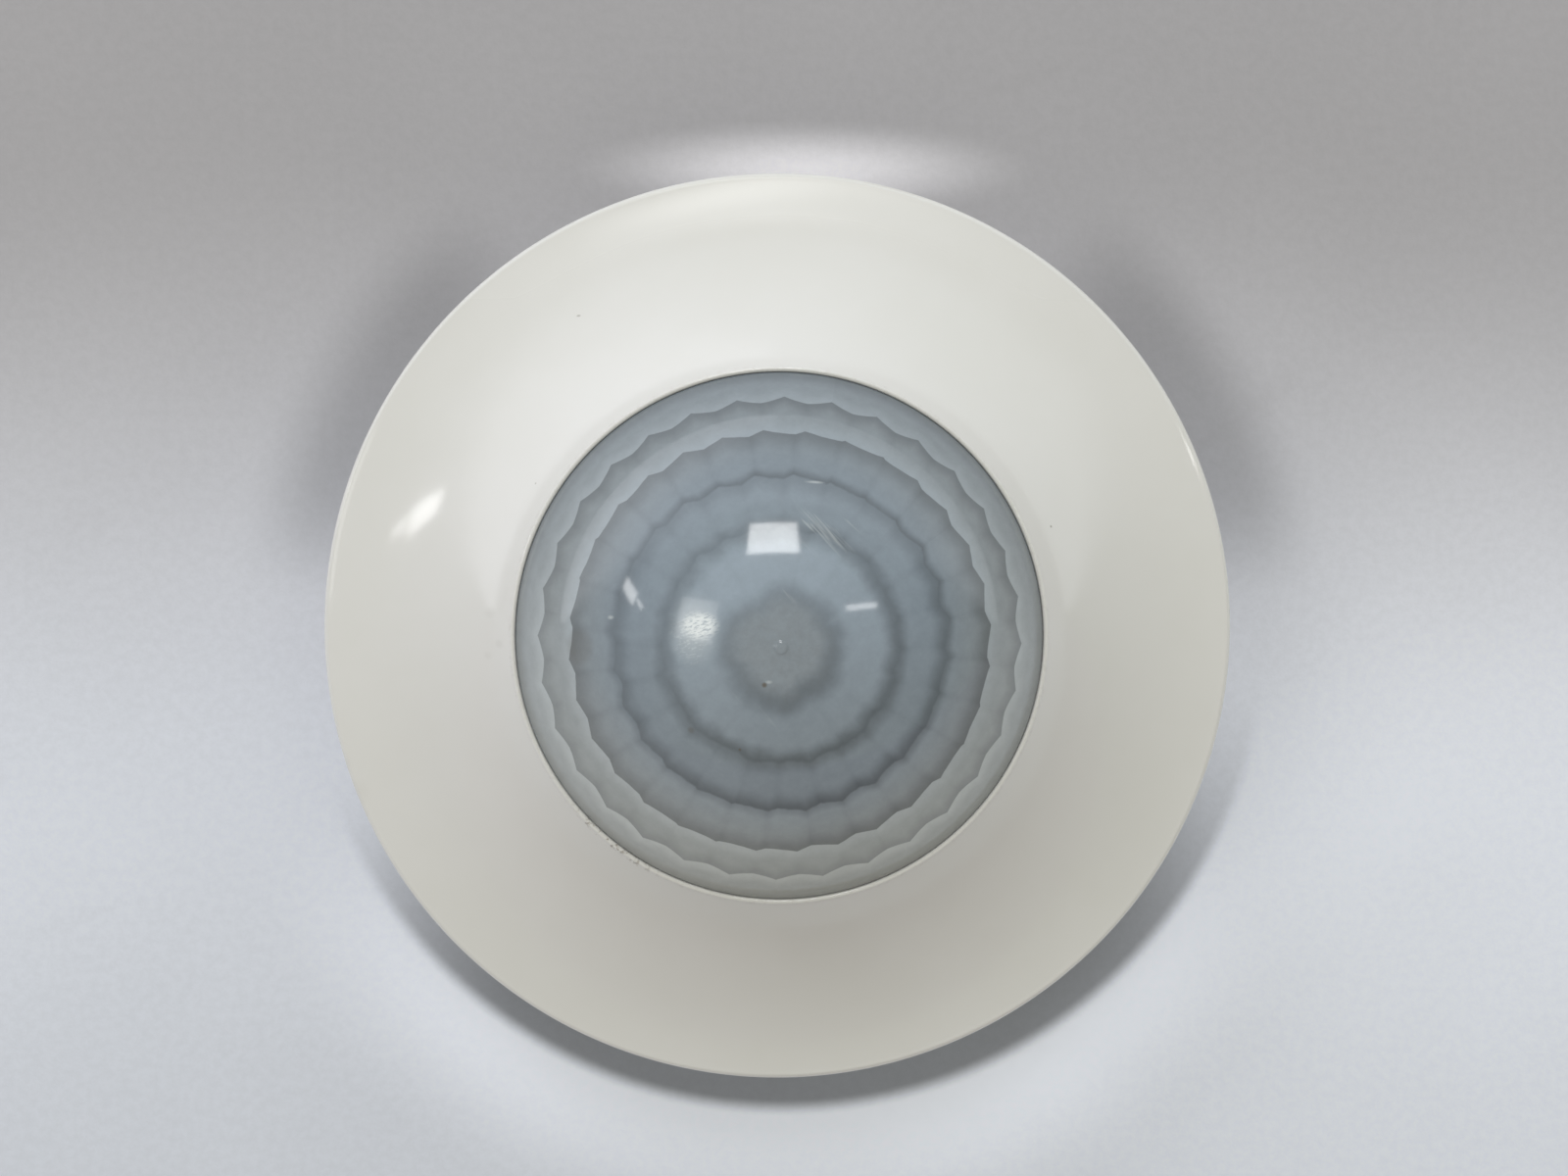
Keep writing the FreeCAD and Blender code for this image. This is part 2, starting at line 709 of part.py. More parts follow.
# Insert: cup for the wall box that hangs in the frame by its flange
insert = new_body("rear_housing")
revolve(insert, [
    (0, 0),
    (insert_bottom - on.insert_chamfer, 0),
    (insert_bottom, on.insert_chamfer),
    (on.insert_radius, frame_top),
    (frame_hole + on.flange_seat, frame_top),
    (frame_hole + on.flange_seat, flange_top),
    (on.insert_radius - on.insert_wall, flange_top),
    (insert_inside, on.insert_floor),
    (0, on.insert_floor),
])
lid_posts = [polar(post_circle, 120 * index) for index in range(3)]
board_posts = [polar(post_circle, 60 + 120 * index) for index in range(3)]
terminal_place = board_posts[2][1] + on.post_radius + on.terminal_gap + on.terminal_depth * 0.5
pad(insert, on.insert_floor, lid_bottom - on.insert_floor, circles=[(x, y, on.post_radius) for x, y in lid_posts])
pad(insert, on.insert_floor, on.power_board_level - on.insert_floor,
    circles=[(x, y, on.post_radius) for x, y in board_posts])
pilot = on.screw_length + on.fit_gap
pocket(insert, lid_bottom, pilot, circles=[(x, y, on.pilot_radius) for x, y in lid_posts])
pocket(insert, on.power_board_level, pilot, circles=[(x, y, on.pilot_radius) for x, y in board_posts])
spigot_length = on.terminal_length - on.terminal_lip * 2
spigot_depth = on.terminal_depth - on.terminal_lip * 2
pocket(insert, on.insert_floor, on.insert_floor, [
    box_points(0, terminal_place, spigot_length + on.fit_gap, spigot_depth + on.fit_gap),
])
nodes.append(insert)

# Insert lid: plate over the power board, screwed to the three long posts
lid = new_body("insert_lid")
pad(lid, lid_bottom, on.lid_thickness, circles=[(0, 0, on.insert_radius - on.insert_wall - on.fit_gap * 2)])
socket_window = box_points(0, on.plug_place, on.plug_length + on.fit_gap, on.plug_width + on.fit_gap)
pocket(lid, flange_top, on.lid_thickness, [socket_window])
lid_seat = flange_top - on.screw_head_height - on.fit_gap * 0.5
pocket(lid, flange_top, on.lid_thickness, circles=[(x, y, on.screw_radius + on.fit_gap) for x, y in lid_posts])
pocket(lid, flange_top, flange_top - lid_seat, circles=[(x, y, on.screw_head_radius + on.fit_gap) for x, y in lid_posts])
nodes.append(lid)
screw_group("lid_screws", lid_seat, on.screw_length, lid_posts)

# Power board, on the three short posts
power = new_body("power_board")
pad(power, on.power_board_level, on.board_thickness, circles=[(0, 0, insert_inside - on.power_board_gap)])
pocket(power, power_top, on.board_thickness, circles=[(x, y, on.post_radius + on.fit_gap) for x, y in lid_posts])
pocket(power, power_top, on.board_thickness, circles=[(x, y, on.screw_radius + on.fit_gap) for x, y in board_posts])
nodes.append(power)
screw_group("power_board_screws", power_top, on.screw_length, board_posts)

# Terminal block: four wire entries that open to the rear
terminal = new_body("terminal_block")
pad(terminal, on.insert_floor, on.power_board_level - on.insert_floor, [
    box_points(0, terminal_place, on.terminal_length, on.terminal_depth),
])
pad(terminal, on.terminal_recess, on.insert_floor - on.terminal_recess, [
    box_points(0, terminal_place, spigot_length, spigot_depth),
])
entry_places = [(on.terminal_pitch * step, terminal_place) for step in (-1.5, -0.5, 0.5, 1.5)]
entry_top = on.terminal_recess + on.wire_entry_depth
cavity_width = on.contact_width + on.fit_gap * 2
cavities = [box_points(x, y, cavity_width, cavity_width) for x, y in entry_places]
pocket(terminal, on.power_board_level, on.power_board_level - entry_top + on.fit_gap, cavities)
pocket(terminal, entry_top, on.wire_entry_depth, circles=[(x, y, on.wire_entry_radius) for x, y in entry_places])
nodes.append(terminal)
contacts = new_body("terminal_contacts")
contact_sketch = new_sketch(contacts, "XZ_Plane", -terminal_place)
leg, sheet_wall = on.contact_width * 0.5, on.contact_sheet
contact_top, contact_foot = on.power_board_level, entry_top + on.fit_gap
for x, _ in entry_places:
    draw_outline(contact_sketch, [
        (x - leg, contact_foot), (x - leg + sheet_wall, contact_foot),
        (x - leg + sheet_wall, contact_top - sheet_wall), (x + leg - sheet_wall, contact_top - sheet_wall),
        (x + leg - sheet_wall, contact_foot), (x + leg, contact_foot),
        (x + leg, contact_top), (x - leg, contact_top),
    ])
bent = contacts.newObject("PartDesign::Pad", "terminal_contacts_bent")
bent.Profile = contact_sketch
bent.Midplane = True
bent.setExpression("Length", on.contact_width.text)
nodes.append(contacts)

# Parts on the power board
plug_half = on.plug_width * 0.5
relay_y = on.plug_place + plug_half + on.relay_gap + on.relay_width * 0.5
block("relay", on.relay_place, relay_y, power_top, on.relay_length, on.relay_width, on.relay_height)
film_y = on.plug_place - plug_half - on.film_gap - on.film_width * 0.5
block("film_capacitor", on.film_place, film_y, power_top, on.film_length, on.film_width, on.film_height)


def turned_part(name, x, y, points):
    """A round component that stands on the power board."""
    body = new_body(name)
    revolve(body, points)
    body.Placement = Placement(Vector(x.number, y.number, 0), Rotation())
    nodes.append(body)


groove = power_top + on.groove_level
groove_radius = on.capacitor_radius - on.groove_depth
turned_part("main_capacitor", on.capacitor_place_x, on.capacitor_place_y, [
    (0, power_top),
    (on.capacitor_radius, power_top),
    (on.capacitor_radius, groove),
    (groove_radius, groove + on.groove_depth),
    (on.capacitor_radius, groove + on.groove_depth * 2),
    (on.capacitor_radius, power_top + on.capacitor_height),
    (0, power_top + on.capacitor_height),
])
choke_top = power_top + on.choke_height
turned_part("choke", on.choke_place_x, on.choke_place_y, [
    (0, power_top),
    (on.choke_radius, power_top),
    (on.choke_radius, power_top + on.choke_flange),
    (on.choke_core, power_top + on.choke_flange),
    (on.choke_core, choke_top - on.choke_flange),
    (on.choke_radius, choke_top - on.choke_flange),
    (on.choke_radius, choke_top),
    (0, choke_top),
])
turned_part("fuse", on.fuse_place_x, on.fuse_place_y, [
    (0, power_top),
    (on.fuse_radius, power_top),
    (on.fuse_radius, power_top + on.fuse_height),
    (0, power_top + on.fuse_height),
])
varistor = doc.addObject("Part::Cylinder", "varistor")
varistor.Label = "varistor"
varistor.setExpression("Radius", "sizes.varistor_radius")
varistor.setExpression("Height", "sizes.varistor_thickness")
varistor_middle = power_top + on.varistor_radius
varistor_corner = Vector(on.varistor_place_x.number, on.varistor_place_y.number, varistor_middle.number)
varistor.Placement = Placement(varistor_corner, Rotation(Vector(0, 1, 0), 90))
nodes.append(varistor)

# Check and write
doc.recompute()
for item in doc.Objects:
    if "Invalid" in item.State or "Error" in item.State:
        raise ValueError(f"{item.Label}: {item.State}")
for node in nodes:
    if node.Shape.isNull() or not node.Shape.isValid():
        raise ValueError(f"{node.Label}: shape not valid")
for node in nodes:
    node.Shape.exportStep(f"parts/{node.Label}.step")
    box = node.Shape.BoundBox
    print(f"{node.Label:22s} solids {len(node.Shape.Solids)} z {box.ZMin:6.2f} to {box.ZMax:6.2f} "
          f"volume {node.Shape.Volume:9.1f}")
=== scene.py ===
import bpy
import math
from mathutils import Matrix, Vector


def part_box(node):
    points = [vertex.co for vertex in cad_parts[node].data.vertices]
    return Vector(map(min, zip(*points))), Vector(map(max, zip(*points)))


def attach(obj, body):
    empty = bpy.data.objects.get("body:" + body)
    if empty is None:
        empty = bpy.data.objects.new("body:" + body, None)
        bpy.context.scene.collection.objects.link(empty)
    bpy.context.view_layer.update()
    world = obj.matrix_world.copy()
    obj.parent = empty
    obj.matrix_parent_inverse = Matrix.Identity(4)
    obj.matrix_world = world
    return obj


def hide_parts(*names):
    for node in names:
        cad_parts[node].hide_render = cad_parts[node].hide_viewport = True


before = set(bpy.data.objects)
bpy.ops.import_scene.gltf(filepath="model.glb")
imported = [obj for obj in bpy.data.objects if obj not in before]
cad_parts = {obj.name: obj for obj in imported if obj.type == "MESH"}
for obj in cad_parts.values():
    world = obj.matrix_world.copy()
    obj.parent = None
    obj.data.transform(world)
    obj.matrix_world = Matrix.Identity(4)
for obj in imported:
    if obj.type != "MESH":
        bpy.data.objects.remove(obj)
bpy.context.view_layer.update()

# Camera
# The photograph looks almost straight down on the lens, from 19 cm above the surface that the part lies on.
camera = bpy.data.objects.new("camera", bpy.data.cameras.new("camera"))
bpy.context.scene.collection.objects.link(camera)
bpy.context.scene.camera = camera
camera.data.lens = 29.25
camera.data.sensor_width = 36
camera.data.clip_start = 0.01
camera.location = (-0.0011, 0.0095, 0.1872)
camera_forward = Vector((0.01115, -0.02957, -0.99950)).normalized()
camera_up = Vector((0.0003, 0.9996, -0.0296))
camera_right = camera_forward.cross(camera_up).normalized()
camera_up = camera_right.cross(camera_forward)
camera.rotation_mode = "QUATERNION"
camera_axes = (camera_right, camera_up, -camera_forward)
camera_turn = Matrix([[axis[row] for axis in camera_axes] for row in range(3)])
camera.rotation_quaternion = camera_turn.to_quaternion()


# Insert
# The cup that goes into the wall box, injection moulded in grey glass-filled plastic. It hangs in the mounting frame
# by its flange.
class Nodes:
    """Short ways to build a material's node tree."""

    def __init__(self, name, world=False):
        self.material = bpy.data.worlds.new(name) if world else bpy.data.materials.new(name)
        self.material.use_nodes = True
        self.tree = self.material.node_tree
        self.tree.nodes.clear()
        self.place = None

    def add(self, kind, inputs=None, **settings):
        node = self.tree.nodes.new(kind)
        for key, value in settings.items():
            setattr(node, key, value)
        for key, value in (inputs or {}).items():
            self.feed(node.inputs[key], value)
        return node

    def feed(self, socket, value):
        if isinstance(value, bpy.types.NodeSocket):
            self.tree.links.new(value, socket)
        elif isinstance(value, tuple) and len(value) == 3 and socket.type == "RGBA":
            socket.default_value = (*value, 1)
        else:
            socket.default_value = value

    def math(self, operation, *values):
        return self.add("ShaderNodeMath", dict(enumerate(values)), operation=operation).outputs[0]

    def vector(self, operation, *values):
        node = self.add("ShaderNodeVectorMath", dict(enumerate(values)), operation=operation)
        return node.outputs["Value" if operation in ("DOT_PRODUCT", "LENGTH", "DISTANCE") else "Vector"]

    def step(self, value, start, end, low=0.0, high=1.0):
        """Goes smoothly from low to high while value goes from start to end."""
        inputs = {"Value": value, "From Min": start, "From Max": end, "To Min": low, "To Max": high}
        return self.add("ShaderNodeMapRange", inputs, interpolation_type="SMOOTHSTEP").outputs[0]

    def blend(self, share, first, second, how="MIX"):
        node = self.add("ShaderNodeMix", {0: share, 6: first, 7: second}, data_type="RGBA", blend_type=how)
        return node.outputs[2]

    def position(self):
        """The point in metres, in the part's own frame."""
        if self.place is None:
            self.place = self.add("ShaderNodeTexCoord").outputs["Object"]
        return self.place

    def noise(self, scale, detail=2.0, rough=0.5, where=None, warp=0.0):
        inputs = {"Vector": where or self.position(), "Scale": scale, "Detail": detail, "Roughness": rough,
                  "Distortion": warp}
        return self.add("ShaderNodeTexNoise", inputs).outputs[0]

    def relief(self, height, depth):
        """The normal of a surface that rises by a depth in metres where height is 1."""
        return self.add("ShaderNodeBump", {"Distance": depth, "Height": height}).outputs[0]

    def surface(self, **inputs):
        """Ends the tree in a principled shader. A name's underscores stand for spaces."""
        named = {key.replace("_", " "): value for key, value in inputs.items()}
        shader = self.add("ShaderNodeBsdfPrincipled", named)
        self.add("ShaderNodeOutputMaterial", {"Surface": shader.outputs[0]})
        return self.material


def colour(red, green, blue):
    """An sRGB colour of 0 to 255, as the linear one that shaders take."""
    parts = [part / 255 for part in (red, green, blue)]
    return tuple(part / 12.92 if part < 0.04045 else ((part + 0.055) / 1.055) ** 2.4 for part in parts)


def moulded(name, tone, other, roughness=(0.4, 0.55), metal=0.0):
    """Plastic or metal: two close tones in slow clouds, and a fine grain in its gloss and relief."""
    nodes = Nodes(name)
    clouds = nodes.step(nodes.noise(90, 3), 0.3, 0.7)
    grain = nodes.noise(2500, 3, 0.6)
    return nodes.surface(
        Base_Color=nodes.blend(clouds, tone, other),
        Roughness=nodes.step(grain, 0.3, 0.7, *roughness),
        Metallic=metal,
        Normal=nodes.relief(grain, 0.00002),
    )


def finish(material, *names):
    """Gives CAD nodes their material."""
    for name in names:
        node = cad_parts[name]
        node.data.materials.clear()
        node.data.materials.append(material)


finish(moulded("insert_plastic", colour(150, 152, 152), colour(138, 140, 141)), "rear_housing")

# Terminal block and contacts
# Push-in terminals for the mains wires, in an opening of the insert's floor: a green moulded block with bent brass
# springs behind its four wire entries.
finish(moulded("terminal_plastic", colour(52, 120, 84), colour(44, 108, 76)), "terminal_block")
brass = moulded("contact_metal", colour(206, 172, 98), colour(186, 150, 84), (0.22, 0.36), metal=1.0)
finish(brass, "terminal_contacts")

# Power board and its components
# A glass-fibre board. Relay, capacitors, choke, fuse and varistor are soldered to it. Green solder mask lies over its
# copper tracks, which show as a faint grid of lighter strips. The riser board and the sensor board are made alike.
board = Nodes("solder_mask")
tracks = board.add("ShaderNodeTexBrick", {
    "Vector": board.position(),
    "Scale": 260.0,
    "Color1": (0.0, 0.0, 0.0),
    "Color2": (0.6, 0.6, 0.6),
    "Mortar": (1.0, 1.0, 1.0),
}).outputs[0]
solder_mask = board.surface(
    Base_Color=board.blend(tracks, colour(20, 84, 52), colour(46, 122, 78)),
    Roughness=board.step(board.noise(1800), 0.3, 0.7, 0.28, 0.42),
    Normal=board.relief(tracks, 0.00003),
    Coat_Weight=0.2,
    Coat_Roughness=0.2,
)
finish(solder_mask, "power_board", "riser_board", "sensor_board")
finish(moulded("relay_plastic", colour(28, 28, 30), colour(36, 36, 38)), "relay")
finish(moulded("film_case", colour(216, 178, 60), colour(204, 164, 52)), "film_capacitor")
finish(moulded("capacitor_sleeve", colour(36, 42, 66), colour(30, 34, 56), (0.25, 0.35)), "main_capacitor")
finish(moulded("choke_core", colour(58, 56, 56), colour(48, 46, 46), (0.55, 0.7)), "choke")
finish(moulded("fuse_case", colour(60, 60, 62), colour(52, 52, 54)), "fuse")
finish(moulded("varistor_coat", colour(36, 84, 152), colour(30, 72, 134), (0.3, 0.45)), "varistor")

# Screws
# Zinc-plated pan head screws, turned and bright. They hold the boards and the lid.
zinc = moulded("screw_metal", colour(186, 188, 190), colour(168, 170, 174), (0.25, 0.4), metal=1.0)
finish(zinc, "power_board_screws", "lid_screws", "sensor_board_screws")

# Insert lid and plug
# A grey moulded plate closes the insert. A black ten-pin socket stands in its window, and the head's header plugs
# into it.
finish(moulded("lid_plastic", colour(158, 160, 160), colour(148, 150, 151)), "insert_lid")
finish(moulded("plug_plastic", colour(26, 26, 27), colour(34, 34, 35)), "plug_socket", "plug_header")
finish(moulded("pin_metal", colour(222, 190, 112), colour(206, 172, 98), (0.2, 0.3), metal=1.0), "plug_pins")

# Mounting frame
# Stamped galvanised steel that screws to the wall box. Its slots are 60 mm apart and its tabs hold the head.
steel = Nodes("galvanised_steel")
spangle = steel.add("ShaderNodeTexVoronoi", {"Vector": steel.position(), "Scale": 420.0}).outputs["Color"]
steel_tone = steel.blend(spangle, colour(158, 161, 163), colour(190, 193, 195))
steel_grain = steel.noise(1500, 4, 0.7)
galvanised = steel.surface(
    Base_Color=steel_tone,
    Metallic=1.0,
    Roughness=steel.step(steel_grain, 0.3, 0.7, 0.32, 0.5),
    Normal=steel.relief(steel_grain, 0.00001),
)
finish(galvanised, "mounting_frame")

# Sensing head
# A white moulded tray holds the sensor board. The lens carrier closes it, and the cover snaps over its lip.
finish(moulded("head_plastic", colour(222, 223, 218), colour(212, 213, 208)), "head_base")
finish(moulded("carrier_plastic", colour(196, 198, 197), colour(186, 188, 188)), "lens_carrier")
can_metal = moulded("can_metal", colour(196, 192, 182), colour(178, 174, 166), (0.2, 0.32), metal=1.0)
finish(can_metal, *[f"sensor_can_{number}" for number in range(1, 5)])
filter_glass = moulded("filter_glass", colour(24, 22, 26), colour(34, 30, 36), (0.06, 0.12))
finish(filter_glass, *[f"sensor_window_{number}" for number in range(1, 5)])
finish(moulded("baffle_plastic", colour(24, 24, 25), colour(32, 32, 33), (0.5, 0.65)), "sensor_baffle")
dark_epoxy = moulded("dark_epoxy", colour(22, 22, 26), colour(30, 30, 34), (0.12, 0.2))
finish(dark_epoxy, "ir_receiver", "controller_chip")
clear_epoxy = moulded("clear_epoxy", colour(196, 204, 200), colour(180, 188, 186), (0.06, 0.12))
finish(clear_epoxy, "status_led", "light_sensor")


# Lens
# One injection moulding of milky plastic, smooth outside, whose flange the cover holds down on the lens carrier.
# Inside are 136 lenslets in six rings, and their steps show through the wall.
def turned(name, outline, segments, first=0.0, span=360.0):
    """A mesh that turns an outline of (radius, height) points in millimetres about the Z axis.

    A part turn starts at an azimuth in degrees, has flat ends and needs an outline that ends where it starts.
    """
    whole = span == 360.0
    corners = []
    rows = []
    for radius, height in outline:
        if rows and math.dist((radius, height), outline[0]) < 1e-6:
            rows.append(rows[0])
            continue
        if radius < 1e-6:
            rows.append([len(corners)] * (segments + 1))
            corners.append((0, 0, height / 1000))
            continue
        row = list(range(len(corners), len(corners) + (segments if whole else segments + 1)))
        for index in range(len(row)):
            angle = math.radians(first + span * index / segments)
            corners.append((radius * math.cos(angle) / 1000, radius * math.sin(angle) / 1000, height / 1000))
        rows.append(row + row[:1] if whole else row)
    faces = []
    for lower, upper in zip(rows, rows[1:]):
        for index in range(segments):
            face = [lower[index], lower[index + 1], upper[index + 1], upper[index]]
            faces.append([corner for place, corner in enumerate(face) if corner != face[place - 1]])
    if not whole:
        faces.append([row[0] for row in rows[:-1]])
        faces.append([row[-1] for row in rows[:-1]][::-1])
    mesh = bpy.data.meshes.new(name)
    mesh.from_pydata(corners, [], faces)
    mesh.shade_smooth()
    piece = bpy.data.objects.new(name, mesh)
    bpy.context.scene.collection.objects.link(piece)
    return piece


def arc(middle, radius, start, end, count):
    """Points on an arc about a middle, from one angle to another in degrees."""
    angles = [math.radians(start + (end - start) * index / count) for index in range(count + 1)]
    return [(middle[0] + radius * math.cos(angle), middle[1] + radius * math.sin(angle)) for angle in angles]


carrier_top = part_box("lens_carrier")[1].z * 1000
flange_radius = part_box("lens_dome")[1].x * 1000
flange_top = carrier_top + 1.2
bevel = 0.1
lens_radius = flange_radius - 2.0
skirt_top = carrier_top + 5.4
skirt_inside = lens_radius - 2.0
ledge = carrier_top + 3.9
dome_radius = 35.1
dome_middle = skirt_top - math.sqrt(dome_radius ** 2 - lens_radius ** 2)
dome_edge = math.degrees(math.asin(lens_radius / dome_radius))
apex = dome_middle + dome_radius
gate_mark = [(0.68, apex + 0.02), (0.55, apex + 0.11), (0.3, apex + 0.13), (0, apex + 0.08)]
gate_mark_edge = 1.2
facet_wall = 2.0
facets_edge = 54.5
outside_rows = 110
inside_rows = 60
lens_segments = 360
outside = arc((0, dome_middle), dome_radius, 90 - dome_edge, 90 - gate_mark_edge, outside_rows)
inside = arc((0, dome_middle), dome_radius - facet_wall, 90, 90 - facets_edge, inside_rows)
lens = turned("lens", inside + [
    (skirt_inside, ledge),
    (skirt_inside, carrier_top),
    (flange_radius - bevel, carrier_top),
    (flange_radius, carrier_top + bevel),
    (flange_radius, flange_top - bevel),
    (flange_radius - bevel, flange_top),
    (lens_radius + bevel, flange_top),
    (lens_radius, flange_top + bevel),
    (lens_radius, skirt_top - 0.12),
    (lens_radius - 0.02, skirt_top - 0.04),
] + outside + gate_mark, lens_segments)

# Each ring of lenslets: its tilt in degrees, its count, and its turn as a share of a facet. A lenslet's inside face is
# part of a ball whose middle lies outside the dome
first_facet = 66.5
lenslet_rings = (
    (2.6, 4, 0.06),
    (14.8, 16, 0.0),
    (24.2, 24, 0.0),
    (33.4, 28, 0.0),
    (42.6, 32, 0.0),
    (50.4, 32, 0.5),
)
ball_radius = 22.0
ball_middle = dome_radius - facet_wall + ball_radius
centre = Vector((0, 0, dome_middle / 1000))
for corner in lens.data.vertices[:1 + inside_rows * lens_segments]:
    way = (corner.co - centre).normalized()
    nearest = 0.0
    for ring_tilt, count, shift in lenslet_rings:
        pitch = 2 * math.pi / count
        turn = (math.atan2(way.y, way.x) - math.radians(first_facet)) / pitch - shift
        off = (turn - round(turn)) * pitch
        upward = way.z * math.cos(math.radians(ring_tilt))
        outward = math.hypot(way.x, way.y) * math.sin(math.radians(ring_tilt)) * math.cos(off)
        nearest = max(nearest, upward + outward)
    reach = ball_middle * nearest - math.sqrt(ball_radius ** 2 - ball_middle ** 2 * (1 - nearest ** 2))
    corner.co = way * reach / 1000 + centre

# The milky wall's material finds the facets again, from a point's direction as seen from the dome's middle. For each
# ring: a point's place from its facet's middle (0) to its side (1), its millimetres from that side, and a random value
milky = Nodes("milky_lens")
ray = milky.vector("NORMALIZE", milky.vector("SUBTRACT", milky.position(), tuple(centre)))
ray_parts = milky.add("ShaderNodeSeparateXYZ", {0: ray}).outputs
azimuth = milky.math("ARCTAN2", ray_parts["Y"], ray_parts["X"])
flat = milky.math("SQRT", milky.math("SUBTRACT", 1.0, milky.math("POWER", ray_parts["Z"], 2.0)))
tilt = milky.math("ARCTAN2", flat, ray_parts["Z"])
turns = []
sides = []
facet_chances = []
for index, (_, count, shift) in enumerate(lenslet_rings):
    pitch = 2 * math.pi / count
    first_turn = math.radians(first_facet) / pitch + shift
    turn = milky.math("SUBTRACT", milky.math("DIVIDE", azimuth, pitch), first_turn)
    number = milky.math("ROUND", turn)
    off = milky.math("ABSOLUTE", milky.math("SUBTRACT", turn, number))
    turns.append(milky.math("MULTIPLY", off, 2.0))
    away = milky.math("SUBTRACT", 0.5, off)
    sides.append(milky.math("MULTIPLY", away, milky.math("MULTIPLY", flat, pitch * dome_radius)))
    facet = milky.math("WRAP", number, float(count), 0.0)
    seed = milky.add("ShaderNodeCombineXYZ", {0: facet, 1: float(index), 2: 3.0}).outputs[0]
    facet_chances.append(milky.add("ShaderNodeTexWhiteNoise", {"Vector": seed}).outputs["Value"])

# Each step between two rings: its tilt in degrees, how far in millimetres it bows with the facets outside it and with
# those inside it, how much it wavers, and how soft it is. steps holds a point's millimetres outward from each
ring_steps = (
    (8.7, 0.0, 0.65, 2.2, 0.75),
    (19.5, 0.2, 0.1, 1.8, 0.22),
    (28.65, 0.4, 0.3, 0.9, 0.16),
    (38.15, 0.5, 0.3, 0.35, 0.06),
    (46.25, 0.85, 0.2, 0.2, 0.06),
)
wobble = milky.math("SUBTRACT", milky.noise(260, 3, 0.6), 0.5)
steps = []
for index, (step_tilt, outer_bow, inner_bow, waver, _) in enumerate(ring_steps):
    away = milky.math("MULTIPLY_ADD", tilt, dome_radius, -math.radians(step_tilt) * dome_radius)
    outer = milky.math("MULTIPLY_ADD", milky.math("POWER", turns[index + 1], 2.0), -outer_bow, outer_bow / 3)
    inner = milky.math("POWER", turns[index], 4.0 if index == 0 else 2.0)
    inner = milky.math("MULTIPLY_ADD", inner, inner_bow, -inner_bow / 3)
    bow = milky.math("ADD", outer, inner)
    steps.append(milky.math("ADD", away, milky.math("MULTIPLY_ADD", wobble, waver, bow)))
rim = milky.math("MULTIPLY_ADD", tilt, dome_radius, -math.radians(dome_edge) * dome_radius)


def toward(degrees):
    """1 on the side of the lens at an azimuth, and -1 on the far side."""
    return milky.math("COSINE", milky.math("SUBTRACT", azimuth, math.radians(degrees)))


# Each ring: its lightness, how much that changes round the ring as painted light and shade and toward which azimuth
# it is lightest, and how dark the lines between its facets are. Then how much darker its outer edge is, over how many
# millimetres, how much that changes round the ring and toward which azimuth, and the same of its inner edge
ring_looks = (
    (0.330, 0.03, 135, 0.0, (0.25, 2.2, 0.6, 290)),
    (0.384, 0.18, 105, 0.02, (0.42, 2.1, 0.28, 295), (0.26, 1.9, 0.40, 320)),
    (0.336, 0.11, 105, 0.035, (0.34, 2.3, 0.38, 295), (0.32, 1.7, 0.2, 340)),
    (0.352, 0.07, 235, 0.045, (0.31, 2.8, 0.15, 20), (0.32, 1.3, 0.3, 50)),
    (0.414, 0.10, 250, 0.035, (0.25, 2.6, 0.2, 60), (-0.22, 2.2, 0.15, 220)),
    (0.462, 0.15, 258, 0.02, (0.33, 3.0, 0.1, 60), (-0.22, 2.4, 0.1, 250)),
)
facet_change = 0.04
rings = []
for index, (middle, change, light_side, seam_depth, *edges) in enumerate(ring_looks):
    borders = [milky.math("MULTIPLY", (*steps, rim)[index], -1.0)]
    if index > 0:
        borders.append(steps[index - 1])
    dark = milky.step(sides[index], 0.0, 0.8, seam_depth, 0.0)
    for distance, (depth, width, swing, dark_side) in zip(borders, edges):
        depth = milky.math("MULTIPLY_ADD", toward(dark_side), depth * swing, depth)
        dark = milky.math("MULTIPLY_ADD", milky.step(distance, 0.0, width, 1.0, 0.0), depth, dark)
    # Painted light and shade: the ring is lighter toward one azimuth and darker on the other side
    lit = milky.math("MULTIPLY_ADD", toward(light_side), middle * change, middle * (1 - facet_change / 2))
    middle = milky.math("MULTIPLY_ADD", facet_chances[index], middle * facet_change, lit)
    rings.append(milky.math("MULTIPLY", middle, milky.math("SUBTRACT", 1.0, dark)))
lightness = rings[0]
for ring, step, (*_, softness) in zip(rings[1:], steps, ring_steps):
    share = milky.step(step, -softness, softness)
    lightness = milky.math("MULTIPLY_ADD", share, milky.math("SUBTRACT", ring, lightness), lightness)


# Marks of use: haze, scratches, dirt and the small hole beside the gate mark, whose dark is painted shade. Painted
# light too: a soft highlight over a scuffed spot and small glints
def spot(nodes, middle, core, edge, squash=(1, 1, 1), turn=0.0):
    """1 within core millimetres of a point of the part, falling to 0 at edge millimetres."""
    off = nodes.vector("SUBTRACT", nodes.position(), tuple(value / 1000 for value in middle))
    rotation = (0, 0, math.radians(-turn))
    squashed = nodes.add("ShaderNodeMapping", {"Vector": off, "Rotation": rotation, "Scale": squash}).outputs[0]
    length = nodes.math("MULTIPLY", nodes.vector("LENGTH", squashed), 1000.0)
    return nodes.step(length, core, edge, 1.0, 0.0)


def scratches(nodes, turn, scale, along):
    """Fine parallel streaks at an azimuth in degrees, from 0 to 1."""
    rotation = (0, 0, math.radians(-turn))
    mapped = nodes.add("ShaderNodeMapping", {"Vector": nodes.position(), "Rotation": rotation}).outputs[0]
    thin = nodes.vector("MULTIPLY", mapped, (1 / along, 1, 0.3))
    return nodes.noise(scale, 3, 0.6, thin, 0.5)


